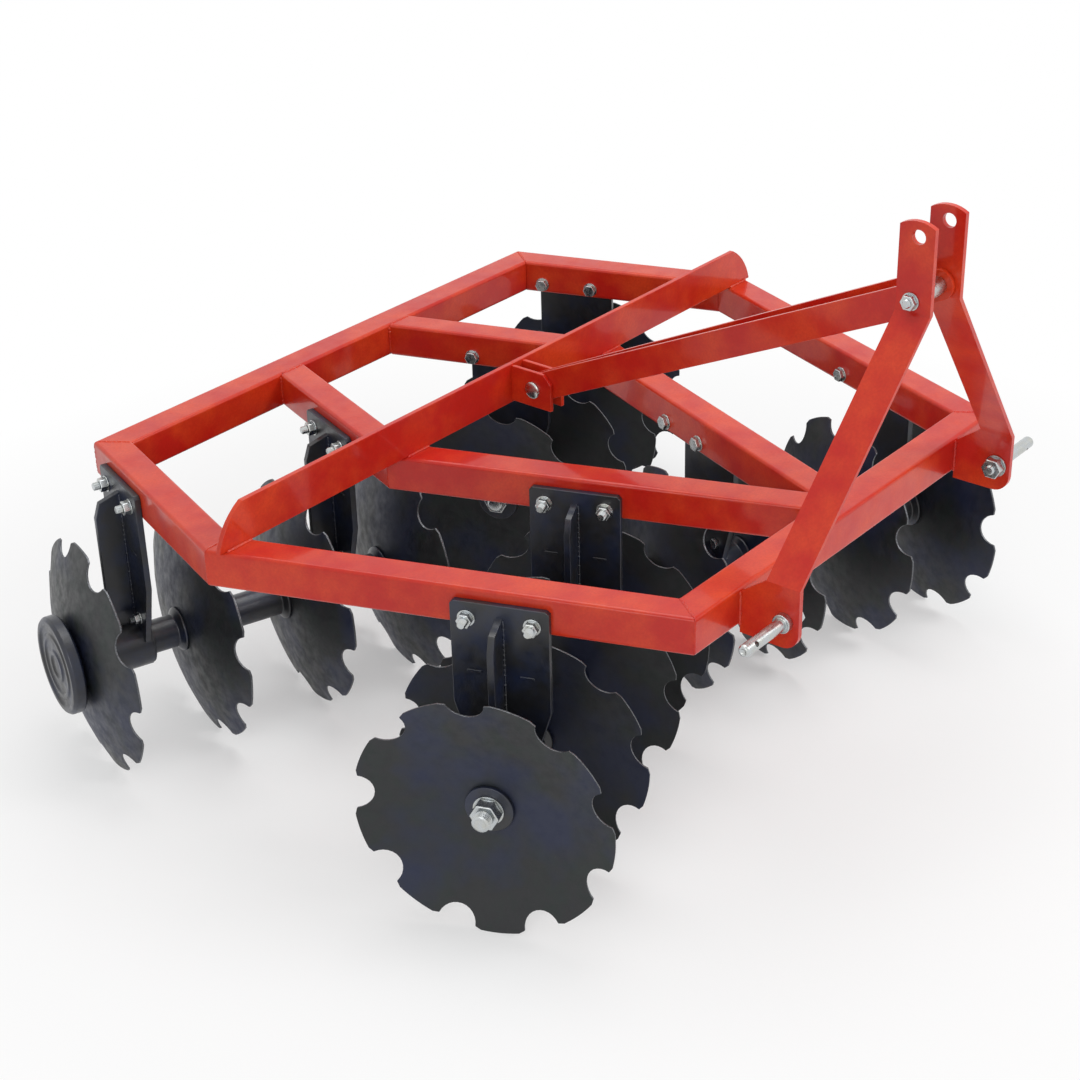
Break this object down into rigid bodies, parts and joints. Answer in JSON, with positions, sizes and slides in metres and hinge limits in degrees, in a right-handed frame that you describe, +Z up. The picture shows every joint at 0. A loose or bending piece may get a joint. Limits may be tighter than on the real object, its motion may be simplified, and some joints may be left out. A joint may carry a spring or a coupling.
{
  "type": "disc harrow",
  "caption": "Tractor-mounted tandem disc harrow: hexagonal welded frame with a hitch mast over gangs of notched dished discs that turn on slanted axles.",
  "frame": {"origin": "on the ground under the middle of the machine's overall box", "axes": "+Z up, -Y towards the tractor, +X to the machine's side; left is -X"},
  "size_m": [1.737, 1.5499, 1.155],
  "materials": {
    "red_enamel": "gloss red enamel over welded mild steel",
    "black_paint": "semi-gloss black paint over cast iron and steel plate",
    "disc_steel": "thin black lacquer over pressed and hardened spring steel",
    "zinc_plate": "bright zinc plate on fasteners and pins"
  },
  "bodies": {
    "frame": {"front_beam": "red_enamel", "rear_beam": "red_enamel", "outer_beam_front_left": "red_enamel", "inner_beam_front_left": "red_enamel", "outer_beam_rear_left": "red_enamel", "inner_beam_rear_left": "red_enamel", "outer_beam_front_right": "red_enamel", "inner_beam_front_right": "red_enamel", "outer_beam_rear_right": "red_enamel", "inner_beam_rear_right": "red_enamel", "cross_bar_left": "red_enamel", "cross_bar_right": "red_enamel", "mast_plate_left": "red_enamel", "mast_plate_right": "red_enamel", "mast_brace_left": "red_enamel", "mast_brace_right": "red_enamel", "mast_bolt": "zinc_plate", "brace_pin": "zinc_plate", "lower_link_pin_left": "zinc_plate", "lower_link_pin_right": "zinc_plate", "hanger_front_left_outer": "black_paint", "hanger_front_left_inner": "black_paint", "hanger_front_right_outer": "black_paint", "hanger_front_right_inner": "black_paint", "hanger_rear_left_outer": "black_paint", "hanger_rear_left_inner": "black_paint", "hanger_rear_right_outer": "black_paint", "hanger_rear_right_inner": "black_paint"},
    "gang_front_left": {"gang_shaft_front_left": "black_paint", "disc_front_left_1": "disc_steel", "disc_front_left_2": "disc_steel", "disc_front_left_3": "disc_steel", "disc_front_left_4": "disc_steel"},
    "gang_front_right": {"gang_shaft_front_right": "black_paint", "disc_front_right_1": "disc_steel", "disc_front_right_2": "disc_steel", "disc_front_right_3": "disc_steel", "disc_front_right_4": "disc_steel"},
    "gang_rear_left": {"gang_shaft_rear_left": "black_paint", "disc_rear_left_1": "disc_steel", "disc_rear_left_2": "disc_steel", "disc_rear_left_3": "disc_steel", "disc_rear_left_4": "disc_steel", "end_bumper_left": "black_paint"},
    "gang_rear_right": {"gang_shaft_rear_right": "black_paint", "disc_rear_right_1": "disc_steel", "disc_rear_right_2": "disc_steel", "disc_rear_right_3": "disc_steel", "disc_rear_right_4": "disc_steel", "end_bumper_right": "black_paint"}
  },
  "joints": [
    {"name": "gang_front_left_spin", "type": "hinge", "parent": "frame", "child": "gang_front_left", "pos_m": [-0.60137, -0.32635, 0.23], "axis": [0.9311, 0.3646, 0], "continuous": true},
    {"name": "gang_front_right_spin", "type": "hinge", "parent": "frame", "child": "gang_front_right", "pos_m": [0.60137, -0.32635, 0.23], "axis": [0.9311, -0.3646, 0], "continuous": true},
    {"name": "gang_rear_left_spin", "type": "hinge", "parent": "frame", "child": "gang_rear_left", "pos_m": [-0.67122, 0.52489, 0.23], "axis": [0.9448, -0.3278, 0], "continuous": true},
    {"name": "gang_rear_right_spin", "type": "hinge", "parent": "frame", "child": "gang_rear_right", "pos_m": [0.67122, 0.52489, 0.23], "axis": [0.9448, 0.3278, 0], "continuous": true}
  ]
}
